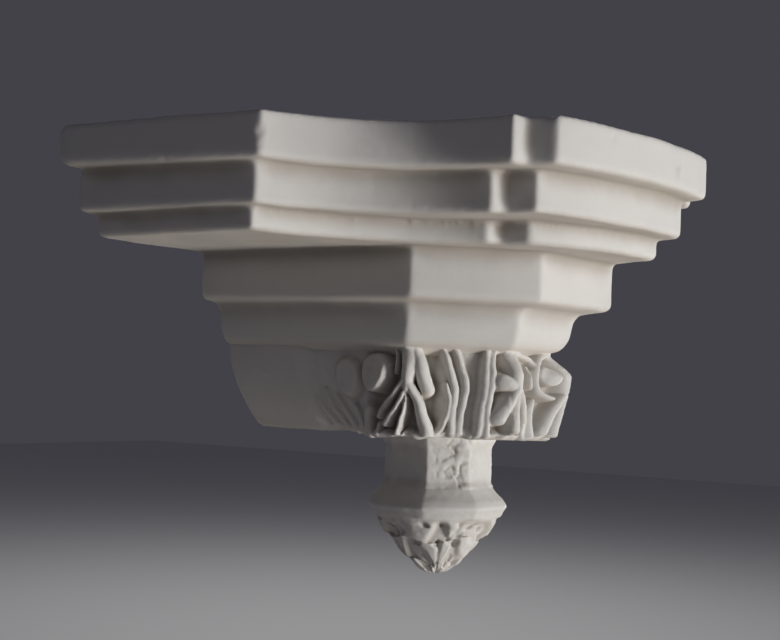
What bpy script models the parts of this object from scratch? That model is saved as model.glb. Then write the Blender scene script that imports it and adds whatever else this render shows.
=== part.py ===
# Stone corbel: three stepped slabs over a half-octagonal bell with a leaf frieze, a short stem,
# a collar ring and a carved bud, all in one block. Metres, +Z up. The wall face is y = 0 and the
# front looks towards -Y. x = 0 is the axis of the bell and the stem, and z = 0 is the underside
# of the lowest slab, where the bell starts.

import math

import bmesh
import bpy
import numpy as np

# The three slabs of the abacus, top to bottom.
TOP_SLAB_HEIGHT = 0.0366
MIDDLE_SLAB_HEIGHT = 0.0325
LOWER_SLAB_HEIGHT = 0.0186

# The plan of the top slab: straight left side, arris, hollow face, horn, square notch, bowed front,
# and the same the other way round on the right, where the bowed front ends nearer the axis.
SLAB_LEFT = 0.312
SLAB_RIGHT = 0.290
SIDE_DEPTH = 0.199
SIDE_LEAN = 0.021
WALL_ROUND = 0.013
HORN_X = -0.196
HORN_DEPTH = 0.358
HOLLOW_RISE = 0.036
NOTCH_WIDTHS = (0.017, 0.013, 0.012)
NOTCH_DEPTHS = (0.0258, 0.0305, 0.0295)
RIGHT_NOTCH_WIDTH = 0.008
RIGHT_NOTCH_DEPTH = 0.020
FRONT_END_X = 0.055
FRONT_END_DEPTH = 0.401
FRONT_BOW = 0.014
RIGHT_HORN_X = 0.100
RIGHT_HORN_DEPTH = 0.366

# How much each lower slab steps in: at the sides, at the arrises, at the horns and at the front, and
# how much flatter its hollow faces are.
SIDE_STEP = 0.022
LEAN_STEP = 0.013
ARRIS_STEP = 0.0105
HORN_STEP_ALONG = 0.0105
HORN_STEP_GROWTH = 0.0115
HORN_STEP_BACK = 0.0300
FRONT_STEP = 0.0205
FRONT_END_STEP = 0.004
HOLLOW_STEP = 0.004

# The rounding of the arrises, upright and level.
HORN_ROUND = 0.004
SIDE_ARRIS_ROUND = 0.003
FRONT_END_ROUND = 0.010

UPPER_ARRIS_ROUND = 0.0022
LOWER_ARRIS_ROUND = 0.0045
SOFFIT_SINK = 0.0022
SOFFIT_RIM = 0.0090

# The bell: a front facet, a diagonal facet each side of it and straight flanks back to the wall,
# stacked downwards from z = 0.
AXIS_TO_WALL = 0.173
BELL_INNER_RADIUS = 0.133
BELL_FRONT_LEFT = 0.055
BELL_FRONT_RIGHT = 0.073
FACET_ANGLE = math.radians(45)

FASCIA_HEIGHT = 0.0430
FASCIA_ROUND = 0.0065
HOLLOW_HEIGHT = 0.0220
BEAD_HEIGHT = 0.0160
BEAD_SWELL = 0.0035
FRIEZE_HEIGHT = 0.0770

# How far each member of the bell lies inside the fascia, and how much further it draws in beside
# the front facet on the right.
HOLLOW_IN = 0.0270
FRIEZE_IN = 0.0400
FRIEZE_TUCK = 0.0012
FACET_TAPER = 0.0100
FLANK_TAPER = 0.0480
RIGHT_DRAW = 0.0120
FLANK_SPLAY = 0.20

# The leaf carving in the frieze: how deep the ground lies, how far the leaves stand over it, and
# how much further they stand out at the corners.
FIELD_SINK = 0.0100
LEAF_RELIEF = 0.0130
LEFT_SWELL = 0.0080
RIGHT_SWELL = 0.0170
RIB_WIDTH = 0.0062
CARVED_FLANK = 0.1250

# Below the bell: stem, collar ring and bud, on the bell's axis.
STEM_HEIGHT = 0.0450
STEM_RADIUS = 0.0455
STEM_FLARE = 0.004
RING_HEIGHT = 0.0265
RING_RADIUS = 0.0612
BUD_HEIGHT = 0.0520
BUD_RADIUS = 0.0555
BUD_RELIEF = 0.0065
BUD_LEAVES = 6

# How far the outlines run on behind the wall face, where they turn, and how finely they are drawn.
BEHIND = 0.020
WALL_CLEAR = 0.0011
FACE_POINTS = 20
FLANK_POINTS = 19
FRIEZE_ROWS = 18
AROUND = 44
STONE_COLOUR = (0.72, 0.68, 0.62, 1.0)
STONE_ROUGHNESS = 0.85

FRIEZE_TOP = -(FASCIA_HEIGHT + HOLLOW_HEIGHT + BEAD_HEIGHT)
BELL_BOTTOM = FRIEZE_TOP - FRIEZE_HEIGHT
RING_TOP = BELL_BOTTOM - STEM_HEIGHT
RING_BOTTOM = RING_TOP - RING_HEIGHT
FOOT = RING_BOTTOM - BUD_HEIGHT
TOP = LOWER_SLAB_HEIGHT + MIDDLE_SLAB_HEIGHT + TOP_SLAB_HEIGHT


def clear_scene():
    for obj in list(bpy.data.objects):
        bpy.data.objects.remove(obj, do_unlink=True)


def stone_material():
    material = bpy.data.materials.new("stone")
    material.use_nodes = True
    shader = material.node_tree.nodes["Principled BSDF"]
    shader.inputs["Base Color"].default_value = STONE_COLOUR
    shader.inputs["Roughness"].default_value = STONE_ROUGHNESS
    shader.inputs["Metallic"].default_value = 0.0
    return material


def smooth(value):
    value = min(1.0, max(0.0, value))
    return value * value * (3 - 2 * value)


def blend(a, b, share):
    return a + (b - a) * share


# Plan outlines are walked from the wall on the left, round the front, to the wall on the right.

def arc(start, end, rise, count):
    """Points between start and end on the circular arc that stands rise to the front of its chord."""
    (ax, ay), (bx, by) = start, end
    half = math.hypot(bx - ax, by - ay) / 2
    across = ((bx - ax) / (2 * half), (by - ay) / (2 * half))
    forward = (across[1], -across[0])
    radius = (half * half + rise * rise) / (2 * abs(rise))
    sweep = math.asin(half / radius)
    side = math.copysign(1.0, rise)
    points = []
    for i in range(1, count + 1):
        turn = blend(-sweep, sweep, i / (count + 1))
        along = half + radius * math.sin(turn)
        out = side * (radius * math.cos(turn) - radius * math.cos(sweep))
        points.append((ax + across[0] * along + forward[0] * out, ay + across[1] * along + forward[1] * out))
    return points


def moved_in(points, distance):
    """The open outline moved towards the inside by one distance all along."""
    moved = []
    last = len(points) - 1
    for i, (x, y) in enumerate(points):
        before = points[max(i - 1, 0)]
        after = points[min(i + 1, last)]
        normals = []
        for (ax, ay), (bx, by) in ((before, (x, y)), ((x, y), after)):
            length = math.hypot(bx - ax, by - ay)
            if length > 1e-9:
                normals.append(((by - ay) / length, -(bx - ax) / length))
        nx = sum(n[0] for n in normals) / len(normals)
        ny = sum(n[1] for n in normals) / len(normals)
        reach = distance / (nx * nx + ny * ny)
        moved.append((x - nx * reach, y - ny * reach))
    return moved


def filleted(points, radii, steps=3):
    """The outline with its corners rounded; a corner with no radius stays a single point."""
    rounded = []
    for i, (x, y) in enumerate(points):
        radius = radii.get(i, 0.0)
        if not radius:
            rounded.append((x, y))
            continue
        (ax, ay), (bx, by) = points[i - 1], points[i + 1]
        to_a, to_b = math.hypot(ax - x, ay - y), math.hypot(bx - x, by - y)
        ua, ub = ((ax - x) / to_a, (ay - y) / to_a), ((bx - x) / to_b, (by - y) / to_b)
        opening = math.acos(max(-1.0, min(1.0, ua[0] * ub[0] + ua[1] * ub[1])))
        reach = min(radius / math.tan(opening / 2), 0.42 * to_a, 0.42 * to_b)
        for k in range(steps + 1):
            t = k / steps
            wa, wc, wb = (1 - t) ** 2, 2 * t * (1 - t), t * t
            rounded.append((
                wa * (x + ua[0] * reach) + wc * x + wb * (x + ub[0] * reach),
                wa * (y + ua[1] * reach) + wc * y + wb * (y + ub[1] * reach),
            ))
    return rounded


def slab_plan(step, inset):
    """The plan of one slab: step 0 is the top slab and each further step is one slab lower."""
    lean = SIDE_LEAN - step * LEAN_STEP
    side_depth = SIDE_DEPTH - step * ARRIS_STEP
    left, right = -(SLAB_LEFT - step * SIDE_STEP), SLAB_RIGHT - step * SIDE_STEP
    along = step * (HORN_STEP_ALONG + step * HORN_STEP_GROWTH)
    back, front = step * HORN_STEP_BACK, step * FRONT_STEP
    rise = HOLLOW_RISE - step * HOLLOW_STEP
    arris = (left + lean, -side_depth)
    horn = (HORN_X + along, -(HORN_DEPTH - back))
    notch = (horn[0] + NOTCH_WIDTHS[step], horn[1] - NOTCH_DEPTHS[step] / 9)
    lip = (notch[0] + NOTCH_WIDTHS[step] / 6, horn[1] - NOTCH_DEPTHS[step])
    front_end = (FRONT_END_X - step * FRONT_END_STEP, -(FRONT_END_DEPTH - front))
    right_notch = (front_end[0] + RIGHT_NOTCH_WIDTH, front_end[1] + RIGHT_NOTCH_DEPTH)
    right_horn = (RIGHT_HORN_X - along / 3, -(RIGHT_HORN_DEPTH - back))
    right_arris = (right - lean, -side_depth)
    round_in = quarter(WALL_ROUND, 3, True)
    side = [(left + WALL_ROUND, BEHIND), *((left + inward, WALL_CLEAR - drop) for inward, drop in round_in)]
    hollow = arc(arris, horn, -rise, 9)
    bow = arc(lip, front_end, FRONT_BOW, 9)
    right_hollow = arc(right_horn, right_arris, -rise, 7)
    points = [*side, arris, *hollow, horn, notch, lip, *bow, front_end]
    corners = {len(side): SIDE_ARRIS_ROUND}
    for at in range(3):
        corners[len(side) + 1 + len(hollow) + at] = HORN_ROUND
    corners[len(points) - 1] = FRONT_END_ROUND
    for corner in (right_notch, right_horn):
        corners[len(points)] = HORN_ROUND
        points.append(corner)
    points += right_hollow
    corners[len(points)] = SIDE_ARRIS_ROUND
    points += [right_arris, *((right - inward, WALL_CLEAR - drop) for inward, drop in reversed(round_in))]
    points.append((right - WALL_ROUND, BEHIND))
    return filleted(moved_in(points, inset), corners)


def quarter(round_size, steps, from_top):
    """(inset, drop) pairs round a quarter circle, from a level bed to an upright face or back."""
    pairs = []
    for k in range(steps + 1):
        turn = math.pi / 2 * k / steps
        if from_top:
            pairs.append((round_size * (1 - math.sin(turn)), round_size * (1 - math.cos(turn))))
        else:
            pairs.append((round_size * (1 - math.cos(turn)), round_size * (1 - math.sin(turn))))
    return pairs


def abacus_rings():
    rings = []
    top = TOP
    for step, height in enumerate((TOP_SLAB_HEIGHT, MIDDLE_SLAB_HEIGHT, LOWER_SLAB_HEIGHT)):
        for inset, drop in quarter(UPPER_ARRIS_ROUND, 2, True):
            rings.append([(x, y, top - drop) for x, y in slab_plan(step, inset)])
        for inset, rise in quarter(LOWER_ARRIS_ROUND, 3, False):
            rings.append([(x, y, top - height + rise) for x, y in slab_plan(step, inset)])
        top -= height
    rings.append([(x, y, SOFFIT_SINK) for x, y in slab_plan(2, SOFFIT_RIM)])
    return rings


def bell_corners(inset):
    """Corners of the bell's plan from left to right: flank, front left, front right, flank."""
    radius = BELL_INNER_RADIUS - inset
    front = -(AXIS_TO_WALL + radius)
    draw = RIGHT_DRAW * inset / HOLLOW_IN
    left_front = -(BELL_FRONT_LEFT - inset * math.tan(FACET_ANGLE / 2))
    right_front = BELL_FRONT_RIGHT - draw - inset * math.tan(FACET_ANGLE / 2)
    left_x = -(radius + FLANK_SPLAY * inset)
    left = (left_x, front + (left_front - left_x) * math.tan(FACET_ANGLE))
    right = (radius, front + (radius - right_front) * math.tan(FACET_ANGLE))
    return left, (left_front, front), (right_front, front), right


def bell_plan(inset):
    left, front_left, front_right, right = bell_corners(inset)
    points = [(-right[0], BEHIND), left, front_left, front_right, right, (right[0], BEHIND)]
    return filleted(points, {1: 0.004, 2: 0.004, 3: 0.006, 4: 0.006})


def moulding_rings():
    """The fascia, the hollow under it and the bead, down into the top of the frieze."""
    sections = [(0.0, LOWER_SLAB_HEIGHT / 2)]
    for inset, rise in quarter(FASCIA_ROUND, 3, False):
        sections.append((inset, rise - FASCIA_HEIGHT))
    for share, drop in ((0.72, 0.10), (0.86, 0.25), (0.96, 0.50), (1.0, 0.75), (1.02, 1.0)):
        sections.append((share * HOLLOW_IN, -FASCIA_HEIGHT - drop * HOLLOW_HEIGHT))
    bead_top = -FASCIA_HEIGHT - HOLLOW_HEIGHT
    for k in range(5):
        drop = BEAD_HEIGHT * (1 - math.cos(math.pi * k / 4)) / 2
        swell = math.sin(math.pi * k / 4)
        centre = blend(HOLLOW_IN * 1.02, FRIEZE_IN, k / 4)
        sections.append((centre - BEAD_SWELL * swell, bead_top - drop))
    sections.append((FRIEZE_IN + 0.016, FRIEZE_TOP - 0.008))
    return [[(x, y, z) for x, y in bell_plan(inset)] for inset, z in sections]


# The carving is a height over the frieze's own face. On every face u is a length along the face
# from its own left corner, and v a length down from the top of the frieze. A leaf hangs on each
# corner of the bell, so each leaf is drawn about its corner.

def to_stroke(u, v, stroke):
    """Distance from a point to a chain of straight runs, and how far along the chain it is, 0 to 1."""
    best, place = 1e9, 0.0
    count = len(stroke) - 1
    for i in range(count):
        (ax, ay), (bx, by) = stroke[i], stroke[i + 1]
        dx, dy = bx - ax, by - ay
        t = min(1.0, max(0.0, ((u - ax) * dx + (v - ay) * dy) / (dx * dx + dy * dy)))
        distance = math.hypot(u - ax - t * dx, v - ay - t * dy)
        if distance < best:
            best, place = distance, (i + t) / count
    return best, place


def rib(u, v, stroke, start_width, end_width, height):
    distance, place = to_stroke(u, v, stroke)
    width = blend(start_width, end_width, place)
    return height * smooth(1 - distance / width) if distance < width else 0.0


def curl(u, v, centre, size, height):
    """A cupped lobe: a rim round its foot and the side towards the leaf, and a dish within."""
    du, dv = u - centre[0], v - centre[1]
    reach = math.hypot(du, dv) / size
    if reach >= 1.25:
        return 0.0
    rim = smooth(1 - abs(reach - 0.85) / 0.40) * smooth((dv - 0.5 * du) / size + 0.9)
    return height * max(rim, 0.45 * smooth((1.0 - reach) / 0.5))


def leaf_side(u, v, kind):
    """One side of a leaf, as a share of the relief. u and v are shares of its length."""
    w = RIB_WIDTH / FRIEZE_HEIGHT
    high = rib(u, v, ((0.0, 0.0), (0.0, 0.54)), 1.3 * w, 0.9 * w, 1.0)
    if kind == "narrow":
        strokes = (
            (((0.03, 0.06), (0.13, 0.24), (0.28, 0.49)), 0.8 * w, 1.4 * w, 0.92),
            (((0.03, 0.52), (0.11, 0.72), (0.20, 0.92)), 0.8 * w, 1.2 * w, 0.90),
            (((0.41, 0.44), (0.45, 0.66), (0.38, 0.88), (0.0, 0.98)), 0.8 * w, 0.9 * w, 0.70),
        )
    elif kind == "oval":
        strokes = (
            (((0.08, 0.30), (0.26, 0.42)), 1.2 * w, 1.3 * w, 0.95),
            (((0.08, 0.60), (0.27, 0.82)), 1.1 * w, 1.4 * w, 0.95),
            (((0.02, 0.56), (0.04, 0.94)), 0.8 * w, 1.0 * w, 0.85),
        )
    else:
        high = max(high, curl(u, v, (0.43, 0.30), 0.19, 0.95), curl(u, v, (0.83, 0.32), 0.19, 0.85))
        strokes = (
            (((0.04, 0.36), (0.26, 0.56), (0.40, 0.84)), 0.8 * w, 1.0 * w, 0.95),
            (((0.01, 0.52), (0.12, 0.72), (0.20, 0.94)), 0.8 * w, 1.0 * w, 0.90),
            (((0.50, 0.66), (0.62, 0.90)), 1.1 * w, 1.6 * w, 0.80),
            (((1.36, 0.52), (1.25, 0.92)), 0.8 * w, 0.8 * w, 0.50),
        )
    for stroke, start, end, height in strokes:
        high = max(high, rib(u, v, stroke, start, end, height))
    return high


# The leaf on each corner from left to right: how far it sits to the right of the corner, as a share
# of its length, and the kinds of its left and right sides.
LEAVES = (
    (0.0, "broad", "narrow"),
    (0.10, "oval", "broad"),
    (0.0, "narrow", "narrow"),
    (0.0, "narrow", "broad"),
)


# The wavy stems on a diagonal face: where each is at the top, at the waist and at the foot, as shares
# of the face's width.
STEMS = ((0.34, 0.50, 0.51), (0.475, 0.60, 0.575), (0.815, 0.78, 0.765), (0.92, 0.85, 0.845))


def leaf_height(corner, from_corner, v):
    offset, left_kind, right_kind = LEAVES[corner]
    s = from_corner - offset
    return leaf_side(abs(s), v, left_kind if s < 0 else right_kind)


def stems_height(u, v, width):
    """Height of the stems that part two leaves on a diagonal face. width is the face's own width."""
    w = RIB_WIDTH / FRIEZE_HEIGHT
    high = 0.0
    for top, waist, foot in STEMS:
        line = ((top * width, 0.0), (waist * width, 0.42), (foot * width, 1.0))
        high = max(high, rib(u, v, line, 0.8 * w, 0.8 * w, 0.85))
    return high


def frieze_carving(face, u, v, width):
    """Height over the plain face, in metres: face 0 is the left flank, then round to the right flank."""
    down, tall = v / FRIEZE_HEIGHT, width / FRIEZE_HEIGHT
    u = u / FRIEZE_HEIGHT
    relief = 0.45 * smooth((down - 0.92) / 0.06) + 0.50 * smooth((0.05 - down) / 0.04)
    fade, lean, swell = 1.0, 0.0, 0.0
    if face > 0:
        relief = max(relief, leaf_height(face - 1, u, down))
    if face < 4:
        relief = max(relief, leaf_height(face, u - tall, down))
    if face in (1, 3):
        relief = max(relief, stems_height(u, down, tall))
    if face in (0, 4):
        off = tall - u if face == 0 else u
        fade = smooth((CARVED_FLANK / FRIEZE_HEIGHT - off) / 0.30)
        lean = (FLANK_TAPER - FACET_TAPER) * down ** 2 * smooth((off - 0.2) / 1.1)
    for corner, bulge in enumerate((LEFT_SWELL, LEFT_SWELL, RIGHT_SWELL, RIGHT_SWELL)):
        if corner in (face - 1, face):
            off = u if corner == face - 1 else tall - u
            swell = max(swell, bulge * smooth(1 - off / 0.65) * smooth(down / 0.25))
    return fade * ((LEAF_RELIEF + swell) * relief - FIELD_SINK) * smooth(down / 0.05) - lean


def frieze_section(inset):
    """Plan points of the frieze, each with the face it lies on, its place there and its way out."""
    left, front_left, front_right, right = bell_corners(inset)
    corners = [(-right[0], BEHIND), left, front_left, front_right, right, (right[0], BEHIND)]
    counts = (FLANK_POINTS, FACE_POINTS, FACE_POINTS, FACE_POINTS, FLANK_POINTS)
    section = []
    for face, count in enumerate(counts):
        (ax, ay), (bx, by) = corners[face], corners[face + 1]
        width = math.hypot(bx - ax, by - ay)
        out = ((by - ay) / width, -(bx - ax) / width)
        for k in range(count):
            if face == 0:
                u = width - blend(CARVED_FLANK, 0.0, k / count) if k else 0.0
            elif face == 4:
                u = blend(0.0, CARVED_FLANK, k / (count - 1))
            else:
                u = width * k / count
            share = u / width
            section.append((face, u, width, (blend(ax, bx, share), blend(ay, by, share)), out))
    section.append((4, width, width, corners[-1], out))
    return section


def softened(heights):
    """Each height averaged with its neighbours, so that no single point stands up on its own."""
    across = (np.roll(heights, 1, axis=1) + 2 * heights + np.roll(heights, -1, axis=1)) / 4
    padded = np.vstack([across[:1], across, across[-1:]])
    return (padded[:-2] + 2 * across + padded[2:]) / 4


def frieze_rings():
    sections, heights = [], []
    for row in range(FRIEZE_ROWS + 1):
        down = row / FRIEZE_ROWS
        section = frieze_section(FRIEZE_IN + FRIEZE_TUCK + FACET_TAPER * down ** 2)
        v = FRIEZE_HEIGHT * down
        sections.append(section)
        heights.append([frieze_carving(face, u, v, width) for face, u, width, _, _ in section])
    rings = []
    for row, high_row in enumerate(softened(np.array(heights))):
        z = FRIEZE_TOP + FRIEZE_TUCK - (FRIEZE_HEIGHT + FRIEZE_TUCK) * row / FRIEZE_ROWS
        ring = []
        before_face, before_out = 0, None
        for (face, _, _, point, out), high in zip(sections[row], high_row):
            if face != before_face:
                size = math.hypot(out[0] + before_out[0], out[1] + before_out[1])
                out_here = ((out[0] + before_out[0]) / size, (out[1] + before_out[1]) / size)
            else:
                out_here = out
            ring.append((point[0] + out_here[0] * high, point[1] + out_here[1] * high, z))
            before_face, before_out = face, out
        rings.append(ring)
    lid = [(x * 0.97, y * 0.97 if y < 0 else y, FRIEZE_TOP + 5 * FRIEZE_TUCK) for x, y, _ in rings[0]]
    return [lid, *rings]


def pendant_radius(z, turn):
    """Radius of the stem, ring and bud at a height, for a direction round the axis."""
    facet = ((turn + math.pi / 8) % (math.pi / 4)) - math.pi / 8
    if z > RING_TOP:
        down = (BELL_BOTTOM - z) / STEM_HEIGHT
        flare = STEM_FLARE * (smooth(1 - down / 0.25) + 0.6 * smooth((down - 0.88) / 0.12))
        return (STEM_RADIUS + flare) / math.cos(facet) ** 0.9
    if z > RING_BOTTOM:
        down = (RING_TOP - z) / RING_HEIGHT
        swell = math.sin(math.pi * min(1.0, down * 0.72 + 0.02))
        radius = blend(STEM_RADIUS + 0.003, RING_RADIUS, swell ** 0.9)
        if down > 0.85:
            radius = blend(radius, BUD_RADIUS, smooth((down - 0.85) / 0.15))
        return radius / math.cos(facet) ** 0.5
    down = min(1.0, (RING_BOTTOM - z) / BUD_HEIGHT)
    body = BUD_RADIUS * (1 - down ** 1.25) ** 0.72
    tier = 2.6 * down
    lobe = (turn / (2 * math.pi) * BUD_LEAVES + 0.5 * math.floor(tier)) % 1.0 - 0.5
    within = tier - math.floor(tier)
    edge = abs(lobe) / (0.52 - 0.34 * within)
    leaf = smooth((1.15 - edge) / 0.45) * (0.55 + 0.45 * within)
    vein = smooth(1 - abs(lobe) / 0.09) * (1 - within)
    return body + BUD_RELIEF * (leaf - 0.35 * vein - 0.5) * smooth(down / 0.08) * (1 - 0.6 * down)


def pendant_rings():
    heights = [BELL_BOTTOM + 0.012]
    heights += [BELL_BOTTOM - STEM_HEIGHT * k / 5 for k in range(6)]
    heights += [RING_TOP - RING_HEIGHT * k / 7 for k in range(1, 8)]
    heights += [RING_BOTTOM - BUD_HEIGHT * k / 15 for k in range(1, 15)]
    heights.append(FOOT + BUD_HEIGHT * 0.012)
    rings = []
    for z in heights:
        ring = []
        for k in range(AROUND):
            turn = 2 * math.pi * k / AROUND + math.pi / 8
            radius = max(pendant_radius(min(z, BELL_BOTTOM - 1e-5), turn), 0.004)
            ring.append((radius * math.sin(turn), -AXIS_TO_WALL - radius * math.cos(turn), z))
        rings.append(ring)
    rings.append([(x / 2, (y - AXIS_TO_WALL) / 2, FOOT) for x, y, _ in rings[-1]])
    return rings


def closed_body(name, rings):
    """A closed mesh through rings of equally many points, with a lid on the first and the last."""
    shape = bmesh.new()
    layers = [[shape.verts.new(point) for point in ring] for ring in rings]
    for upper, lower in zip(layers, layers[1:]):
        for k in range(len(upper)):
            j = (k + 1) % len(upper)
            shape.faces.new((upper[k], upper[j], lower[j], lower[k]))
    shape.faces.new(layers[0])
    shape.faces.new(layers[-1])
    bmesh.ops.recalc_face_normals(shape, faces=shape.faces)
    mesh = bpy.data.meshes.new(name)
    shape.to_mesh(mesh)
    shape.free()
    body = bpy.data.objects.new(name, mesh)
    bpy.context.collection.objects.link(body)
    return body


def as_guide(body):
    body.hide_render = True
    body.display_type = "WIRE"
    return body


def box_behind_wall():
    """Everything behind y = 0 is cut away, so the block ends flat where it meets the wall."""
    reach = 2 * max(SLAB_LEFT, SLAB_RIGHT)
    corners = ((-reach, 0.0), (reach, 0.0), (reach, 5 * BEHIND), (-reach, 5 * BEHIND))
    rings = [[(x, y, z) for x, y in corners] for z in (TOP + BEHIND, FOOT - BEHIND)]
    return as_guide(closed_body("wall", rings))


def boolean(body, tool, operation):
    cut = body.modifiers.new(f"{operation.lower()} {tool.name}", "BOOLEAN")
    cut.operation = operation
    cut.solver = "EXACT"
    cut.object = tool


def corbel():
    body = closed_body("corbel", abacus_rings())
    for name, rings in (("bell", moulding_rings()), ("frieze", frieze_rings()), ("pendant", pendant_rings())):
        boolean(body, as_guide(closed_body(name, rings)), "UNION")
    boolean(body, box_behind_wall(), "DIFFERENCE")
    body.data.materials.append(stone_material())
    return body


clear_scene()
corbel()
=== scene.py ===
import math

import bpy
import numpy as np
from mathutils import Matrix, Vector, noise


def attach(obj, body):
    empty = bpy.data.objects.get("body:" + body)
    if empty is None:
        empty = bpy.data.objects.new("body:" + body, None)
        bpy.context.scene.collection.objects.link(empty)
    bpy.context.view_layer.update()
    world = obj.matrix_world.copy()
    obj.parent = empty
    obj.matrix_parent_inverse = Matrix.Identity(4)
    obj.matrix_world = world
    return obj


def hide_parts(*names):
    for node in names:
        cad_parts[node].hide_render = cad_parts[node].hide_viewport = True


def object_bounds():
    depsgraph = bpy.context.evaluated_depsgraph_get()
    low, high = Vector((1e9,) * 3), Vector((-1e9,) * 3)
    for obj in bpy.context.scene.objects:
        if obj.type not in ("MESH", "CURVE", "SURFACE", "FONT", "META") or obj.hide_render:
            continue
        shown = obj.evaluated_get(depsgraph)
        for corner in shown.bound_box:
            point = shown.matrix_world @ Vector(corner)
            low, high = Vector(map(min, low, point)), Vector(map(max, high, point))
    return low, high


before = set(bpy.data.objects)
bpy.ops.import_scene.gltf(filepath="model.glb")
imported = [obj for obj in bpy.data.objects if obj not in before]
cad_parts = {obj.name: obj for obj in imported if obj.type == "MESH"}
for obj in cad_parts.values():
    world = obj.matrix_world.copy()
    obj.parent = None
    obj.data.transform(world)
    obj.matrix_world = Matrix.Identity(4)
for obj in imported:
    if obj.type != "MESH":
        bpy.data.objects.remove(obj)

cadBox = [list(corner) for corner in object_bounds()]

# Metres. The wall is y = 0, the front looks to -Y, x = 0 is the axis of the bell and the stem,
# and z = 0 is the underside of the lowest slab.


# Small helpers

def step01(value):
    value = np.clip(value, 0.0, 1.0)
    return value * value * (3 - 2 * value)


def mix(a, b, share):
    return a + (b - a) * share


def deselectAll():
    if bpy.context.object and bpy.context.object.mode != "OBJECT":
        bpy.ops.object.mode_set(mode="OBJECT")
    bpy.ops.object.select_all(action="DESELECT")


def makeOnly(body):
    deselectAll()
    body.select_set(True)
    bpy.context.view_layer.objects.active = body


def addModifier(body, kind, **settings):
    makeOnly(body)
    made = body.modifiers.new(kind.lower(), kind)
    for name, value in settings.items():
        setattr(made, name, value)
    bpy.ops.object.modifier_apply(modifier=made.name)


def pointsOf(body):
    co = np.empty(len(body.data.vertices) * 3)
    body.data.vertices.foreach_get("co", co)
    return co.reshape(-1, 3)


def normalsOf(body):
    out = np.empty(len(body.data.vertices) * 3)
    body.data.vertices.foreach_get("normal", out)
    return out.reshape(-1, 3)


def setPoints(body, co):
    body.data.vertices.foreach_set("co", np.ascontiguousarray(co).ravel())
    body.data.update()


def smoothNoise(co, size, seed, octaves=2):    # about -1 to 1, one value a point
    shift = Vector((seed * 3.7, seed * 1.3, -seed * 2.1))
    return np.array([noise.fractal(Vector(p) / size + shift, 0.8, 2.0, octaves) for p in co])


def gridThrough(name, rings):    # a grid wrapped round the rings, closed at the seam and the ends
    rings = np.asarray(rings)
    rows, count = rings.shape[:2]
    deselectAll()
    bpy.ops.mesh.primitive_grid_add(x_subdivisions=count, y_subdivisions=rows - 1, size=1.0)
    body = bpy.context.object
    body.name = name
    setPoints(body, np.concatenate([rings, rings[:, :1]], axis=1).reshape(-1, 3))
    bpy.ops.object.mode_set(mode="EDIT")
    bpy.ops.mesh.select_all(action="SELECT")
    bpy.ops.mesh.remove_doubles(threshold=1e-6)
    bpy.ops.mesh.select_all(action="SELECT")
    bpy.ops.mesh.fill_holes(sides=0)
    bpy.ops.mesh.normals_make_consistent(inside=False)
    bpy.ops.object.mode_set(mode="OBJECT")
    return body


# Plan outlines, walked from the wall on the left, round the front, to the wall on the right

def arcBetween(start, end, rise, count=40):    # rise > 0 bows to the front of the chord
    (ax, ay), (bx, by) = start, end
    half = math.hypot(bx - ax, by - ay) / 2
    across = ((bx - ax) / (2 * half), (by - ay) / (2 * half))
    radius = (half * half + rise * rise) / (2 * abs(rise))
    sweep = math.asin(half / radius)
    points = []
    for i in range(1, count + 1):
        turn = mix(-sweep, sweep, i / (count + 1))
        along = half + radius * math.sin(turn)
        out = math.copysign(radius * math.cos(turn) - radius * math.cos(sweep), rise)
        points.append((ax + across[0] * along + across[1] * out, ay + across[1] * along - across[0] * out))
    return points


def movedIn(points, distance):
    moved = []
    last = len(points) - 1
    for i, (x, y) in enumerate(points):
        normals = []
        for (ax, ay), (bx, by) in ((points[max(i - 1, 0)], (x, y)), ((x, y), points[min(i + 1, last)])):
            length = math.hypot(bx - ax, by - ay)
            if length > 1e-9:
                normals.append(((by - ay) / length, -(bx - ax) / length))
        nx = sum(n[0] for n in normals) / len(normals)
        ny = sum(n[1] for n in normals) / len(normals)
        reach = distance / (nx * nx + ny * ny)
        moved.append((x - nx * reach, y - ny * reach))
    return moved


def filleted(points, radii, steps=5):    # radii of the corners to round, by their place in the outline
    most = 0.42    # a fillet stops short of the middle of each side
    rounded = []
    for i, (x, y) in enumerate(points):
        radius = radii.get(i, 0.0)
        if not radius:
            rounded.append((x, y))
            continue
        (ax, ay), (bx, by) = points[i - 1], points[i + 1]
        toA, toB = math.hypot(ax - x, ay - y), math.hypot(bx - x, by - y)
        ua, ub = ((ax - x) / toA, (ay - y) / toA), ((bx - x) / toB, (by - y) / toB)
        opening = math.acos(max(-1.0, min(1.0, ua[0] * ub[0] + ua[1] * ub[1])))
        reach = min(radius / math.tan(opening / 2), most * toA, most * toB)
        for k in range(steps + 1):
            t = k / steps
            wa, wc, wb = (1 - t) ** 2, 2 * t * (1 - t), t * t
            rounded.append((wa * (x + ua[0] * reach) + wc * x + wb * (x + ub[0] * reach),
                            wa * (y + ua[1] * reach) + wc * y + wb * (y + ub[1] * reach)))
    return rounded


def quarterRound(size, steps, fromTop):    # (inset, drop) pairs
    pairs = []
    for k in range(steps + 1):
        turn = math.pi / 2 * k / steps
        inset, drop = size * (1 - math.sin(turn)), size * (1 - math.cos(turn))
        pairs.append((inset, drop) if fromTop else (drop, inset))
    return pairs


# The three slabs of the abacus

behind = 0.020    # how far the outlines run on past the wall face before they are cut
wallGap = 0.0004    # how far in front of the wall the finished back stands

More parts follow.
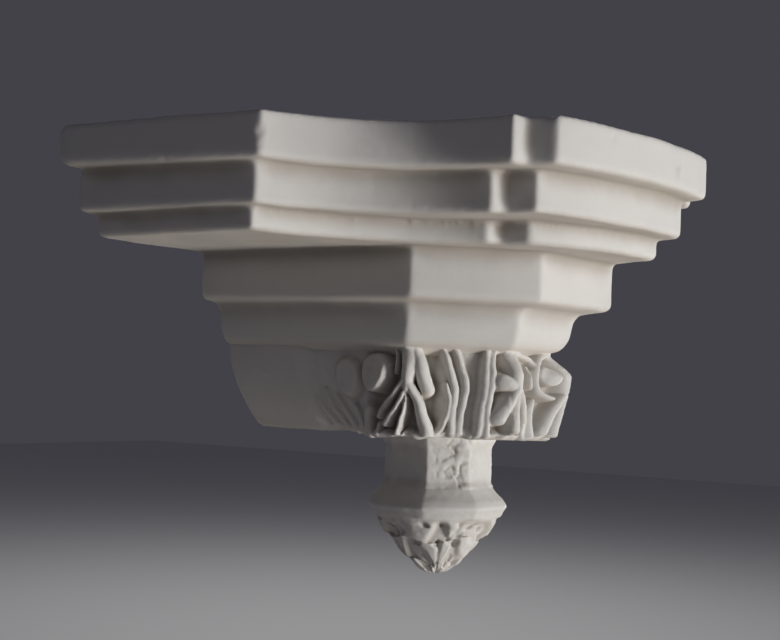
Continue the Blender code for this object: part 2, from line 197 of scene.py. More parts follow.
abacusLook = {
    "heights": (0.0366, 0.0325, 0.0186), "left": 0.312, "right": 0.290,
    "sideDepth": 0.199, "sideLean": 0.021, "wallRound": 0.013, "wallRoundOut": 0.0011,
    "hornX": -0.196, "hornDepth": 0.358, "hollowRise": 0.036,
    "notchWidths": (0.017, 0.013, 0.012), "notchDepths": (0.0258, 0.0305, 0.0295),
    "notchLean": 1 / 9, "lipLean": 1 / 6, "rightHornShare": 1 / 3,
    "frontEndX": 0.055, "frontEndDepth": 0.401, "frontBow": 0.014,
    "rightNotchWidth": 0.008, "rightNotchDepth": 0.020, "rightHornX": 0.100, "rightHornDepth": 0.366,
    # what each slab gains or loses against the one above it
    "sideStep": 0.022, "leanStep": 0.013, "arrisStep": 0.0105, "hollowStep": 0.004,
    "hornStepAlong": 0.0105, "hornStepGrowth": 0.0115, "hornStepBack": 0.030,
    "frontStep": 0.0205, "frontEndStep": 0.004,
    # wear of the arrises, and how much of the top slab's height its two ends lose
    "sideRound": 0.003, "hornRound": 0.004, "frontEndRound": 0.010,
    "upperRound": 0.0022, "lowerRound": 0.0045, "endWear": 0.022, "leftEndLoss": 0.44, "rightEndLoss": 0.28,
    "voxel": 0.0024, "softening": 5, "wobble": 0.0007, "grit": 0.00012,
}


def slabPlan(step, inset):
    s = abacusLook
    lean = s["sideLean"] - step * s["leanStep"]
    sideDepth = s["sideDepth"] - step * s["arrisStep"]
    left, right = -(s["left"] - step * s["sideStep"]), s["right"] - step * s["sideStep"]
    along, back = step * (s["hornStepAlong"] + step * s["hornStepGrowth"]), step * s["hornStepBack"]
    rise = s["hollowRise"] - step * s["hollowStep"]
    arris = (left + lean, -sideDepth)
    horn = (s["hornX"] + along, -(s["hornDepth"] - back))
    notchWidth, notchDepth = s["notchWidths"][step], s["notchDepths"][step]
    notch = (horn[0] + notchWidth, horn[1] - notchDepth * s["notchLean"])
    lip = (notch[0] + notchWidth * s["lipLean"], horn[1] - notchDepth)
    frontEnd = (s["frontEndX"] - step * s["frontEndStep"], -(s["frontEndDepth"] - step * s["frontStep"]))
    rightNotch = (frontEnd[0] + s["rightNotchWidth"], frontEnd[1] + s["rightNotchDepth"])
    rightHorn = (s["rightHornX"] - along * s["rightHornShare"], -(s["rightHornDepth"] - back))
    rightArris = (right - lean, -sideDepth)
    wallArc = quarterRound(s["wallRound"], 6, True)
    clear = s["wallRoundOut"]
    side = [(left + s["wallRound"], behind), *((left + i, clear - d) for i, d in wallArc)]
    hollow = arcBetween(arris, horn, -rise)
    bow = arcBetween(lip, frontEnd, s["frontBow"])
    rightHollow = arcBetween(rightHorn, rightArris, -rise)
    rightSide = [*((right - i, clear - d) for i, d in reversed(wallArc)), (right - s["wallRound"], behind)]
    points = [*side, arris, *hollow, horn, notch, lip, *bow,
              frontEnd, rightNotch, rightHorn, *rightHollow, rightArris, *rightSide]
    rounds = {arris: s["sideRound"], rightArris: s["sideRound"], frontEnd: s["frontEndRound"],
              **dict.fromkeys((horn, notch, lip, rightNotch, rightHorn), s["hornRound"])}
    return filleted(movedIn(points, inset), {i: rounds[p] for i, p in enumerate(points) if p in rounds})


def slabBody(step, top, height):    # the plan as a face, drawn down and its arrises rounded
    s = abacusLook
    rings = []
    for inset, drop in quarterRound(s["upperRound"], 4, True):
        rings.append([(x, y, top - drop) for x, y in slabPlan(step, inset)])
    for inset, rise in quarterRound(s["lowerRound"], 5, False):
        rings.append([(x, y, top - height + rise) for x, y in slabPlan(step, inset)])
    body = gridThrough("slab", rings)
    if step == 0:    # the ends of the top slab are worn round where they meet the wall
        co = pointsOf(body)
        end = np.clip((co[:, 1] + s["endWear"]) / s["endWear"], 0, 1) ** 2
        middle = top - height / 2
        loss = np.where(co[:, 0] < 0, s["leftEndLoss"], s["rightEndLoss"]) * end
        co[:, 2] = middle + (co[:, 2] - middle) * (1 - loss)
        setPoints(body, co)
    return body


# The bell: fascia, hollow and bead

bellLook = {
    "axisToWall": 0.173, "radius": 0.133, "frontLeft": 0.055, "frontRight": 0.073,
    "facetTan": math.tan(math.radians(45)), "rightDraw": 0.012,
    "fasciaHeight": 0.0430, "fasciaRound": 0.0065, "hollowHeight": 0.0220, "beadHeight": 0.0160,
    "hollowIn": 0.0270, "friezeIn": 0.0400, "flankSplay": 0.20, "beadSwell": 0.0035,
    "diagonalRound": 0.004, "frontRound": 0.006, "sunkUp": 0.012, "sunkDown": 0.008, "sunkIn": 0.016,
}
# the hollow's profile, down from the fascia: shares of its depth inwards and of its height
hollowProfile = (
    (0.72, 0.10), (0.80, 0.17), (0.86, 0.25), (0.92, 0.37), (0.96, 0.50), (1.0, 0.75), (1.02, 1.0),
)
friezeTop = -(bellLook["fasciaHeight"] + bellLook["hollowHeight"] + bellLook["beadHeight"])


def bellCorners(inset):
    s = bellLook
    radius = s["radius"] - inset
    front = -(s["axisToWall"] + radius)
    halfTan = math.tan(math.radians(22.5))
    leftFront = -(s["frontLeft"] - inset * halfTan)
    rightFront = s["frontRight"] - s["rightDraw"] * inset / s["hollowIn"] - inset * halfTan
    leftX = -(radius + s["flankSplay"] * inset)
    left = (leftX, front + (leftFront - leftX) * s["facetTan"])
    right = (radius, front + (radius - rightFront) * s["facetTan"])
    return left, (leftFront, front), (rightFront, front), right


def bellPlan(inset):
    left, frontLeft, frontRight, right = bellCorners(inset)
    points = [(-right[0], behind), left, frontLeft, frontRight, right, (right[0], behind)]
    diagonal, front = bellLook["diagonalRound"], bellLook["frontRound"]
    return filleted(points, {1: diagonal, 2: diagonal, 3: front, 4: front})


def bellBody():
    s = bellLook
    sections = [(0.0, s["sunkUp"])]
    for inset, rise in quarterRound(s["fasciaRound"], 6, False):
        sections.append((inset, rise - s["fasciaHeight"]))
    for share, drop in hollowProfile:
        sections.append((share * s["hollowIn"], -s["fasciaHeight"] - drop * s["hollowHeight"]))
    beadTop = -s["fasciaHeight"] - s["hollowHeight"]
    beadSteps = 12
    for k in range(beadSteps + 1):
        turn = math.pi * k / beadSteps
        centre = mix(s["hollowIn"] * hollowProfile[-1][0], s["friezeIn"], k / beadSteps)
        drop = s["beadHeight"] * (1 - math.cos(turn)) / 2
        sections.append((centre - s["beadSwell"] * math.sin(turn), beadTop - drop))
    sections.append((s["friezeIn"] + s["sunkIn"], friezeTop - s["sunkDown"]))
    return gridThrough("bell", [[(x, y, z) for x, y in bellPlan(inset)] for inset, z in sections])


wearLook = {"wobbleSize": 0.055, "gritSize": 0.006}
nicks = (    # nicks and pits: where, how wide and how deep
    ((-0.292, -0.200, 0.070), 0.006, 0.0018),
    ((-0.2915, -0.200, 0.060), 0.004, 0.0012),
    ((-0.018, -0.410, 0.070), 0.005, 0.0012),
    ((-0.117, -0.398, 0.078), 0.004, 0.0010),
    ((-0.174, -0.378, 0.087), 0.005, 0.0015),
    ((-0.150, -0.350, 0.052), 0.004, 0.0010),
    ((0.060, -0.306, -0.040), 0.005, 0.0012),
    ((0.130, -0.345, 0.070), 0.004, 0.0012),
    ((-0.020, -0.408, 0.066), 0.007, 0.0009),
    ((-0.272, -0.188, 0.0515), 0.005, 0.0014),
    ((-0.300, -0.110, 0.0515), 0.004, 0.0012),
    ((-0.262, -0.150, 0.0190), 0.004, 0.0012),
)


def wear(body, wobble, grit, seed):    # a hand-cut unevenness, a fine grit and the nicks
    co, out = pointsOf(body), normalsOf(body)
    low = wobble * smoothNoise(co, wearLook["wobbleSize"], seed)
    low += grit * smoothNoise(co, wearLook["gritSize"], seed + 5, 3)
    for place, size, depth in nicks:
        reach = np.linalg.norm(co - np.array(place), axis=1) / size
        low -= depth * np.clip(1 - reach ** 2, 0, 1)
    setPoints(body, co + out * low[:, None])


def cutAtWall(body):    # the block ends flat at the wall
    bpy.ops.object.mode_set(mode="EDIT")
    bpy.ops.mesh.select_all(action="SELECT")
    bpy.ops.mesh.bisect(plane_co=(0, -wallGap, 0), plane_no=(0, 1, 0), clear_outer=True, use_fill=True)
    bpy.ops.object.mode_set(mode="OBJECT")


def keepInBox(body):    # and stays inside the solid's box
    low, high = (np.array(corner) for corner in cadBox)
    hair = 1e-5
    setPoints(body, np.clip(pointsOf(body), low + hair, high - hair))


keyTop = sum(abacusLook["heights"]) - 0.010
keys = ((2, 0.92, 0.004), (1, 0.93, keyTop - 0.040))    # which slab's plan, its share, and the key's foot


def abacusPiece():
    s = abacusLook
    top = sum(s["heights"])
    bodies = []
    for step, height in enumerate(s["heights"]):
        bodies.append(slabBody(step, top, height))
        top -= height
    bodies.append(bellBody())
    # keys inside, the plans of two slabs made smaller, tie the slabs together where their beds only touch
    middle, nearest = -0.17, -0.015
    for step, share, foot in keys:
        plan = [(share * x, min(middle + share * (y - middle), nearest)) for x, y in slabPlan(step, 0.0)]
        bodies.append(gridThrough("key", [[(x, y, z) for x, y in plan] for z in (keyTop, foot)]))
    makeOnly(bodies[0])
    for body in bodies[1:]:
        body.select_set(True)
    bpy.ops.object.join()
    body = bpy.context.object
    body.name = "abacusAndBell"
    addModifier(body, "REMESH", mode="VOXEL", voxel_size=s["voxel"])
    addModifier(body, "SMOOTH", factor=0.5, iterations=s["softening"])
    wear(body, s["wobble"], s["grit"], seed=1)
    cutAtWall(body)
    keepInBox(body)
    return body


# The leaf frieze

friezeLook = {
    "height": 0.0770, "tuck": 0.0012, "facetTaper": 0.0100, "flankTaper": 0.0480, "carvedFlank": 0.1250,
    "sink": 0.0056, "scoop": 0.0135, "relief": 0.0030, "dip": 0.0045, "footRound": 0.0035,
    "fan": 0.025, "cornerCut": 0.19, "lidShare": 0.97, "lidUp": 0.006,
    "rows": 100, "step": 0.00082, "plainStep": 0.004, "softening": 2, "wobble": 0.0007, "grit": 0.00030,
    # the rest are shares of the frieze's height, and of a lobe's or ball's own size
    "waver": 0.006, "fineWaver": 0.002, "strandHalves": (0.050, 0.054), "strandRise": 0.74,
    "footRim": 0.26, "footRimFrom": 0.87, "footRimRun": 0.09, "footFrom": 0.955,
    "dipFrom": 0.75, "dipLevel": 0.35, "dipRagged": 0.4,
    "topRim": 0.55, "topRimTo": 0.05, "topRun": 0.04, "cornerRun": 0.06, "leanFrom": 0.2, "leanRun": 1.1,
    "fadeRun": 0.30, "swellHalf": 0.62, "swellRun": 0.30, "swellOfGround": 0.72,
    "scoopTop": 0.55, "scoopTopRun": 0.5, "scoopRim": (1.06, 0.30), "scoopFoot": (0.99, 0.10),
    "lobeCrown": 0.40, "lobeRim": (1.08, 0.36), "budCrown": 0.12, "budRim": (1.05, 0.22), "budThin": 0.60,
}
swells = (0.0085, 0.0150, 0.0230, 0.0210)    # how far each corner's leaf stands out beyond the rest

# Lobes of the leaves: points, half-widths at the two ends, height. All are shares of the frieze's
# height, u out from the leaf's own middle and v down from the top.
stalk = (((0.0, -0.02), (0.0, 0.18), (0.0, 0.46)), 0.150, 0.080, 0.95)
narrowLobes = (
    (((0.07, 0.02), (0.145, 0.24), (0.225, 0.47)), 0.090, 0.105, 0.90),
    (((0.02, 0.42), (0.11, 0.58), (0.175, 0.75), (0.235, 0.89)), 0.065, 0.098, 0.95),
    (((0.425, 0.42), (0.465, 0.56), (0.47, 0.70), (0.43, 0.82), (0.34, 0.92), (0.10, 0.97)),
     0.030, 0.052, 0.66),
)
ovalLobes = (
    (((0.04, 0.40), (0.10, 0.385), (0.160, 0.37)), 0.090, 0.108, 0.95),
    (((0.02, 0.47), (0.08, 0.61), (0.165, 0.76)), 0.075, 0.112, 0.98),
    (((0.04, 0.01), (0.16, 0.03), (0.26, 0.07)), 0.050, 0.040, 0.70),
    (((0.01, 0.42), (-0.01, 0.66), (-0.03, 0.88)), 0.050, 0.088, 1.00),
)
broadLobes = (
    (((0.02, 0.36), (0.18, 0.54), (0.30, 0.68), (0.37, 0.78)), 0.045, 0.050, 0.92),
    (((0.01, 0.46), (0.12, 0.64), (0.25, 0.84)), 0.045, 0.058, 0.90),
    (((0.00, 0.52), (0.05, 0.74), (0.11, 0.94)), 0.042, 0.050, 0.84),
    (((0.20, 0.02), (0.16, 0.12), (0.155, 0.30)), 0.030, 0.026, 0.75),
    (((0.58, 0.70), (0.62, 0.82), (0.60, 0.96)), 0.060, 0.085, 0.85),
    (((0.42, 0.88), (0.46, 0.98)), 0.060, 0.070, 0.70),
    (((0.84, 0.68), (0.80, 0.84), (0.78, 0.98)), 0.030, 0.095, 0.60),
    (((1.12, 0.58), (1.07, 0.76), (0.99, 0.96)), 0.015, 0.070, 0.50),
    (((1.30, 0.50), (1.27, 0.72), (1.18, 0.94)), 0.012, 0.060, 0.46),
    (((1.46, 0.60), (1.43, 0.74), (1.38, 0.90)), 0.012, 0.048, 0.40),
)
openLobes = (
    (((0.03, 0.44), (0.13, 0.62), (0.20, 0.78)), 0.042, 0.062, 0.90),
    (((0.02, 0.52), (0.05, 0.70), (0.08, 0.88)), 0.045, 0.070, 0.85),
    (((0.04, 0.04), (0.22, 0.06), (0.42, 0.10), (0.50, 0.22)), 0.050, 0.038, 0.70),
    (((0.30, 0.62), (0.36, 0.76), (0.32, 0.92)), 0.045, 0.070, 0.75),
)
# Balls of leaf: middle, half-sizes, height.
buds = (((0.45, 0.31), (0.235, 0.235), 1.32), ((0.88, 0.37), (0.205, 0.220), 1.25))
openBuds = (((0.33, 0.31), (0.125, 0.150), 0.95),)
cuppedLobes = (
    (((0.02, 0.05), (0.20, 0.06), (0.36, 0.14), (0.42, 0.30), (0.36, 0.46), (0.20, 0.54)),
     0.048, 0.045, 0.90),
    (((0.01, 0.50), (0.05, 0.72), (0.06, 0.92)), 0.050, 0.070, 0.95),
    (((0.05, 0.50), (0.15, 0.68), (0.21, 0.88)), 0.045, 0.075, 0.92),
    (((0.40, 0.56), (0.39, 0.76), (0.34, 0.93)), 0.045, 0.080, 0.80),
)
cuppedBuds = (((0.225, 0.29), (0.115, 0.125), 0.90),)
# Each corner's leaf from left to right: how far it sits right of the corner, and its two sides.
leaves = (
    (0.04, "broad", "narrow"), (0.09, "oval", "open"), (0.0, "cupped", "narrow"), (0.0, "narrow", "broad"),
)
leafSides = {
    "narrow": (narrowLobes, ()), "oval": (ovalLobes, ()),
    "broad": (broadLobes, buds), "open": (openLobes, openBuds), "cupped": (cuppedLobes, cuppedBuds),
}
stems = (    # the wavy strands that part two leaves on a diagonal face, u as a share of its width
    ((0.34, -0.02), (0.45, 0.24), (0.505, 0.46), (0.505, 0.68), (0.51, 0.98)),
    ((0.475, -0.02), (0.555, 0.19), (0.605, 0.37), (0.597, 0.54), (0.590, 0.67), (0.575, 0.95)),
    ((0.815, -0.02), (0.786, 0.23), (0.776, 0.56), (0.764, 0.98)),
    ((0.925, -0.02), (0.862, 0.12), (0.848, 0.34), (0.836, 0.56), (0.845, 1.0)),
)


flanks, diagonals = (0, 4), (1, 3)    # faces, counted from the wall on the left


def curved(points, steps=5):    # a smooth line through the points
    p = np.array([points[0], *points, points[-1]], dtype=float)
    line = []
    for a, b, c, d in zip(p, p[1:], p[2:], p[3:]):
        for t in np.arange(steps) / steps:
            line.append(0.5 * (2 * b + (c - a) * t + (2 * a - 5 * b + 4 * c - d) * t ** 2
                               + (3 * b - a - 3 * c + d) * t ** 3))
    return [*line, p[-1]]


def lobeHeight(u, v, points, startHalf, endHalf, height):    # a rounded run along a line
    best = np.full(u.shape, 1e9)
    place = np.zeros(u.shape)
    line = curved(points)
    count = len(line) - 1
    for i in range(count):
        (ax, ay), (bx, by) = line[i], line[i + 1]
        dx, dy = bx - ax, by - ay
        t = np.clip(((u - ax) * dx + (v - ay) * dy) / (dx * dx + dy * dy), 0, 1)
        distance = np.hypot(u - ax - t * dx, v - ay - t * dy)
        nearer = distance < best
        best = np.where(nearer, distance, best)
        place = np.where(nearer, (i + t) / count, place)
    edge = best / mix(startHalf, endHalf, place)
    rim, soft = friezeLook["lobeRim"]
    crown = 1 - friezeLook["lobeCrown"] * np.minimum(edge, 1) ** 2
    return height * crown * step01((rim - edge) / soft)


def budHeight(u, v, centre, size, height):    # a ball of leaf, fullest at its foot and inner side
    du, dv = (u - centre[0]) / size[0], (v - centre[1]) / size[1]
    reach = np.hypot(du, dv)
    thin = friezeLook["budThin"]
    full = thin + (1 - thin) * step01(0.45 + 0.55 * (dv - du))
    rim, soft = friezeLook["budRim"]
    crown = 1 - friezeLook["budCrown"] * np.minimum(reach, 1) ** 2
    return height * full * crown * step01((rim - reach) / soft)


scoops = {    # how far the ground is cut down beside each kind of leaf side, and how deeply
    "narrow": (0.42, 1.0), "oval": (0.30, 0.45), "open": (0.50, 0.45),
    "broad": (0.62, 0.90), "cupped": (0.46, 0.40),
}


def scoopDepth(fromLeaf, v, kinds):    # how deep the ground is cut round a leaf, 0 to 1
    s = friezeLook
    (rim, soft), (foot, footRun) = s["scoopRim"], s["scoopFoot"]
    depth = 0.0
    for kind, here in zip(kinds, (fromLeaf < 0, fromLeaf >= 0)):
        reach, cut = scoops[kind]
        across = np.abs(fromLeaf) / reach
        low = cut * (s["scoopTop"] + (1 - s["scoopTop"]) * step01(v / s["scoopTopRun"]))
        depth = np.where(here, low * step01((rim - across) / soft) * step01((foot - v) / footRun), depth)
    return depth


def leafHeight(corner, fromCorner, v):    # the two sides of a corner's leaf, with its stalk between
    offset, *kinds = leaves[corner]
    fromLeaf = fromCorner - offset
    u = np.abs(fromLeaf)
    high = 0.0
    for kind, here in zip(kinds, (fromLeaf < 0, fromLeaf >= 0)):
        lobes, balls = leafSides[kind]
        side = lobeHeight(u, v, *stalk)
        for lobe in lobes:
            side = np.maximum(side, lobeHeight(u, v, *lobe))
        for ball in balls:
            side = np.maximum(side, budHeight(u, v, *ball))
        high = np.where(here, side, high)
    return high


def friezeHeight(face, u, v, width):    # metres over the plain face, and how far its foot hangs down
    s = friezeLook
    tall, down, u = width / s["height"], v / s["height"], u / s["height"]
    # a chisel's wavering line
    u = u + s["waver"] * np.sin(14 * down + 3 * u + 2 * face) + s["fineWaver"] * np.sin(41 * down - 13 * u)
    v = down + s["waver"] * np.sin(11 * u + 3 * face) + s["fineWaver"] * np.sin(37 * u + 9 * down)
    leaf, depth = 0.0, 0.0
    for corner, fromCorner in ((face - 1, u), (face, u - tall)):
        if 0 <= corner < len(leaves):
            leaf = np.maximum(leaf, leafHeight(corner, fromCorner, v))
            depth = np.maximum(depth, scoopDepth(fromCorner - leaves[corner][0], v, leaves[corner][1:]))
    sink = s["sink"] + s["scoop"] * depth
    # a ragged rim along the foot, a plain one along the top, and the strands
    ragged = 0.5 + 0.5 * np.sin(23 * u + 3 * face) * np.sin(9 * u + face)
    footRim = (s["footRim"] + s["footRim"] * ragged) * step01((down - s["footRimFrom"]) / s["footRimRun"])
    topRim = s["topRim"] * step01((s["topRimTo"] - down) / s["topRun"])
    relief = np.maximum(np.maximum(leaf, footRim), topRim)
    if face in diagonals:
        for line in stems:
            strand = lobeHeight(u, v, [(a * tall, b) for a, b in line], *s["strandHalves"], s["strandRise"])
            relief = np.maximum(relief, strand)
    fade, lean, swell = 1.0, 0.0, 0.0
    if face in flanks:    # the carving dies out towards the wall, and the flank leans in
        off = tall - u if face == flanks[0] else u
        fade = step01((s["carvedFlank"] / s["height"] - off) / s["fadeRun"])
        lean = (s["flankTaper"] - s["facetTaper"]) * down ** 2 * step01((off - s["leanFrom"]) / s["leanRun"])
    for corner, bulge in enumerate(swells):
        if corner in (face - 1, face):
            off = np.abs((u if corner == face - 1 else u - tall) - leaves[corner][0])
            leafSwell = bulge * step01(1 - off / s["swellHalf"]) * step01(down / s["swellRun"])
            swell = np.maximum(swell, leafSwell)
    # the ground is cut down, and every lobe rises from it to its own height
    ground = swell * s["swellOfGround"] - sink
    crest = swell + s["relief"]
    high = fade * (ground + (crest - ground) * relief) * step01(down / s["topRun"]) - lean
    high -= s["footRound"] * step01((down - s["footFrom"]) / (1 - s["footFrom"]))
    blur = 8    # points to each side
    edge = np.pad(leaf * np.ones(len(u)), blur, mode="edge")
    edge = np.convolve(edge, np.ones(2 * blur + 1) / (2 * blur + 1), mode="valid")
    edge = edge - s["dipLevel"] + s["dipRagged"] * ragged
    return high, s["dip"] * fade * edge * step01((down - s["dipFrom"]) / (1 - s["dipFrom"]))


def acrossFace(face, width, count, plain):    # places across a face, far apart where the flank is plain
    carved = friezeLook["carvedFlank"]
    if face not in flanks:
        return np.arange(count) / count * width
    fine, free = np.arange(count) / count * carved, width - carved
    if face == flanks[0]:
        return np.concatenate([np.arange(plain) / plain * free, free + fine])
    return np.concatenate([fine, carved + np.arange(plain + 1) / plain * free])


def friezePiece():
    s = friezeLook
    rings = []
    counts = None
    for row in range(s["rows"] + 1):
        down = row / s["rows"]
        corners = bellCorners(bellLook["friezeIn"] + s["tuck"] + s["facetTaper"] * down ** 2)
        corners = [(-corners[-1][0], behind), *corners, (corners[-1][0], behind)]
        runs = list(zip(corners, corners[1:]))
        widths = [math.dist(a, b) for a, b in runs]
        outs = [np.array(((b[1] - a[1]) / w, -(b[0] - a[0]) / w)) for (a, b), w in zip(runs, widths)]
        if counts is None:
            counts = [int(min(w, s["carvedFlank"]) / s["step"]) for w in widths]
            plain = int((widths[0] - s["carvedFlank"]) / s["plainStep"])
        z = friezeTop + s["tuck"] - (s["height"] + s["tuck"]) * down
        ring = []
        for face, ((a, b), width, out) in enumerate(zip(runs, widths, outs)):
            u = acrossFace(face, width, counts[face], plain)
            way = np.tile(out, (len(u), 1))
            high, hang = friezeHeight(face, u, np.full(len(u), s["height"] * down), width)
            for near, off in ((face - 1, u), (face + 1, width - u)):
                if not flanks[0] <= near <= flanks[1]:
                    continue
                # the way out fans round the corners, and the corners are rounded off
                share = 0.5 * (1 - step01(off / s["fan"]))[:, None]
                way = way * (1 - share) + outs[near] * share
                cut = s["cornerCut"] * s["fan"] * np.clip(1 - off / s["fan"], 0, 1) ** 2
                high = high - cut * step01(down / s["cornerRun"])
            way /= np.linalg.norm(way, axis=1)[:, None]
            x = mix(a[0], b[0], u / width) + way[:, 0] * high
            y = mix(a[1], b[1], u / width) + way[:, 1] * high
            ring.append(np.stack([x, y, z - hang * np.ones(len(u))], axis=1))
        rings.append(np.concatenate(ring))
    lid = rings[0].copy()    # closes the top, inside the bead
    lid[:, 0] *= s["lidShare"]
    lid[:, 1] = np.where(lid[:, 1] < 0, lid[:, 1] * s["lidShare"], lid[:, 1])
    lid[:, 2] = friezeTop + s["lidUp"]
    body = gridThrough("leafFrieze", [lid, *rings])
    addModifier(body, "SMOOTH", factor=0.5, iterations=s["softening"])
    wear(body, s["wobble"], s["grit"], seed=11)
    cutAtWall(body)
    keepInBox(body)
    return body


# Stem, collar ring and bud

pendantLook = {
    "stemHeight": 0.0450, "stemRadius": 0.0455, "stemFlare": 0.004, "sunkUp": 0.010,
    "hackedAt": 5.65, "hackedHalf": 0.55, "hackRough": 0.0016, "hackDepth": 0.0022,
    "ringHeight": 0.0265, "ringRadius": 0.0612, "neckGrowth": 0.003,
    "budHeight": 0.0520, "budRadius": 0.0555, "budRelief": 0.0085, "budLeaves": 6, "budTiers": 2.4,
    "pits": 0.0042,
    "around": 240, "stemRows": 40, "ringRows": 30, "budRows": 64, "tipRadius": 0.003, "tipHeight": 0.0006,
    "softening": 2, "wobble": 0.0004, "grit": 0.00025,
}
# profiles from the top down: shares of the height, and how far out
ringProfile = ((0, 0.18, 0.40, 0.56, 0.64, 0.80, 1), (0.0, 0.32, 0.78, 0.985, 1.0, 0.78, 0.56))
budProfile = (
    (0, 0.2, 0.35, 0.5, 0.66, 0.8, 0.88, 0.95, 1),
    (1, 0.875, 0.765, 0.65, 0.52, 0.39, 0.305, 0.215, 0.10),
)


def stemRadii(turn, facet, z, down):    # eight-sided, flared at its ends, one facet hacked
    s = pendantLook
    flare = s["stemFlare"] * (step01(1 - down / 0.25) + 0.6 * step01((down - 0.88) / 0.12))
    radius = (s["stemRadius"] + flare) / np.cos(facet) ** 0.9
    way = [Vector((math.cos(t) * 3.4, math.sin(t) * 3.4, z * 55)) for t in turn]
    rough = np.array([noise.fractal(p, 0.9, 2.0, 3) for p in way])
    away = np.abs((turn - s["hackedAt"] + np.pi) % (2 * np.pi) - np.pi)
    hacked = 0.25 + 0.75 * step01(1.15 - away / s["hackedHalf"])
    split = step01((np.abs(rough) - 0.02) / 0.10) - 1
    return radius + (s["hackRough"] * rough + s["hackDepth"] * split * hacked) * hacked * step01(down / 0.1)


def ringRadii(facet, down):
    s = pendantLook
    out = np.interp(down, *ringProfile)
    return mix(s["stemRadius"] + s["neckGrowth"], s["ringRadius"], out) / np.cos(facet) ** 0.5


def budRadii(turn, z, down):    # tiers of small leaves, each with a vein, cut with pits
    s = pendantLook
    way = [Vector((math.cos(t), math.sin(t), z * 22)) for t in turn]
    warp = np.array([noise.fractal(p * 1.1, 0.9, 2.0, 2) for p in way])
    pits = np.array([noise.fractal(p * 3.4 + Vector((5, 2, 1)), 0.9, 2.0, 2) for p in way])
    tier = s["budTiers"] * down + 0.30 * warp + 0.15
    within = tier - np.floor(tier)
    lobe = (turn / (2 * np.pi) * s["budLeaves"] + 0.5 * np.floor(tier) + 0.35 * warp) % 1.0 - 0.5
    edge = np.abs(lobe) / (0.50 - 0.30 * within)
    leaf = step01((1.10 - edge) / 0.35) * (0.55 + 0.45 * within)
    vein = step01(1 - np.abs(lobe) / 0.10) * (1 - within)
    carved = s["budRelief"] * (leaf - 0.5 * vein - 0.55) - s["pits"] * step01((pits - 0.12) / 0.22)
    return s["budRadius"] * np.interp(down, *budProfile) + carved * step01(down / 0.10) * (1 - 0.55 * down)


def pendantPiece():
    s = pendantLook
    bellBottom = friezeTop - friezeLook["height"]
    ringTop = bellBottom - s["stemHeight"]
    ringBottom = ringTop - s["ringHeight"]
    foot = ringBottom - s["budHeight"]
    turn = 2 * np.pi * np.arange(s["around"]) / s["around"] + np.pi / 8
    facet = (turn + np.pi / 8) % (np.pi / 4) - np.pi / 8    # how far round from the middle of its facet
    heights = [bellBottom + s["sunkUp"], *np.linspace(bellBottom, ringTop, s["stemRows"]),
               *np.linspace(ringTop, ringBottom, s["ringRows"])[1:],
               *np.linspace(ringBottom, foot + s["tipHeight"], s["budRows"])[1:]]
    rings = []
    for z in heights:
        if z > ringTop + 1e-9:
            radius = stemRadii(turn, facet, z, max(0.0, (bellBottom - z) / s["stemHeight"]))
        elif z > ringBottom + 1e-9:
            radius = ringRadii(facet, (ringTop - z) / s["ringHeight"])
        else:
            radius = budRadii(turn, z, min(1.0, (ringBottom - z) / s["budHeight"]))
        radius = np.maximum(radius, s["tipRadius"])
        y = -bellLook["axisToWall"] - radius * np.cos(turn)
        rings.append(np.stack([radius * np.sin(turn), y, np.full_like(turn, z)], axis=1))
    body = gridThrough("stemAndBud", rings)
    addModifier(body, "SMOOTH", factor=0.5, iterations=s["softening"])
    wear(body, s["wobble"], s["grit"], seed=21)
    keepInBox(body)
    return body


# Material

class Sock:    # a shader value that can be written in a sum
    def __init__(self, shop, socket):
        self.shop, self.socket = shop, socket

    def maths(self, operation, first, second):
        return self.shop.node("ShaderNodeMath", {"operation": operation}, {0: first, 1: second})

    def __add__(self, other):
        return self.maths("ADD", self, other)

    def __mul__(self, other):
        return self.maths("MULTIPLY", self, other)

    __radd__, __rmul__ = __add__, __mul__


class Shop:    # where one material's nodes are made and joined
    def __init__(self, material):
        material.use_nodes = True
        self.tree = material.node_tree
        self.surface = self.tree.nodes["Principled BSDF"]

    def join(self, value, socket):
        if isinstance(value, Sock):
            self.tree.links.new(value.socket, socket)
        else:
            socket.default_value = value

    def node(self, kind, settings, inputs, output=0):    # output is the place of the socket that is read
        made = self.tree.nodes.new(kind)
        for name, value in settings.items():
            if name == "stops":
                while len(made.color_ramp.elements) < len(value):
                    made.color_ramp.elements.new(0.5)
                for element, (place, colour) in zip(made.color_ramp.elements, value):
                    element.position, element.color = place, colour
            else:
                setattr(made, name, value)
        for name, value in inputs.items():
            self.join(value, made.inputs[name])
        return Sock(self, made.outputs[output])

    def blend(self, share, first, second):
        return self.node("ShaderNodeMix", {"data_type": "RGBA"}, {0: share, 6: first, 7: second}, 2)


stoneLook = {
    "pale": (0.745, 0.720, 0.685, 1), "cool": (0.680, 0.670, 0.650, 1),
    # the warm colour is painted shade on the faces that look down, the next is painted shade in the creases,
    # and the one below is painted shadow in the deep hollows
    "warm": (0.640, 0.550, 0.440, 1), "dust": (0.420, 0.370, 0.310, 1),
    "stain": (0.330, 0.290, 0.245, 1),
    "roughness": 0.82, "roughnessSpread": 0.14, "specular": 0.25, "bump": 0.25, "bumpDepth": 0.0006,
    # noises: scale, detail, roughness
    "patches": (9.0, 5.0, 0.6), "speckle": (160.0, 4.0, 0.7), "grain": (620.0, 3.0, 0.6),
    # how strongly each tint shows: with its noise, and everywhere
    "coolShare": 0.55, "warmShare": (0.7, 0.25), "stainShare": (0.4, 0.60), "dustShare": (0.5, 0.35),
    "patchEdges": (0.40, 0.66), "speckleHeight": 0.6, "grainHeight": 0.4,
}


